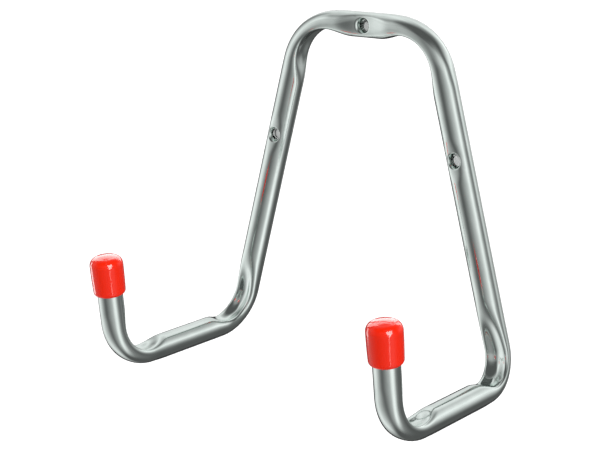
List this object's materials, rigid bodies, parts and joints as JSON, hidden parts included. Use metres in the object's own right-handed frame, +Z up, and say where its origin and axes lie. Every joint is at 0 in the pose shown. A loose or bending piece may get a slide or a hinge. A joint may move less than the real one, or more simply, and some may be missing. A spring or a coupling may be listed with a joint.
{
  "type": "bicycle wall rack",
  "caption": "Wall rack for a bicycle: a bent steel tube, A-shaped against the wall, with arms that turn up at capped tips.",
  "frame": {"origin": "on the wall plane, where the tube's rear touches it, on the top screw's axis", "axes": "+Z up along the wall, -Y straight out of the wall along the arms, +X to the right as seen by someone facing the wall"},
  "size_m": [0.2934, 0.1833, 0.285],
  "materials": {
    "zinc_plated_steel": "bright zinc plate",
    "red_cap": "glossy dip-moulded PVC"
  },
  "bodies": {
    "root": {"frame_tube": "zinc_plated_steel", "left_cap": "red_cap", "right_cap": "red_cap"}
  },
  "joints": []
}
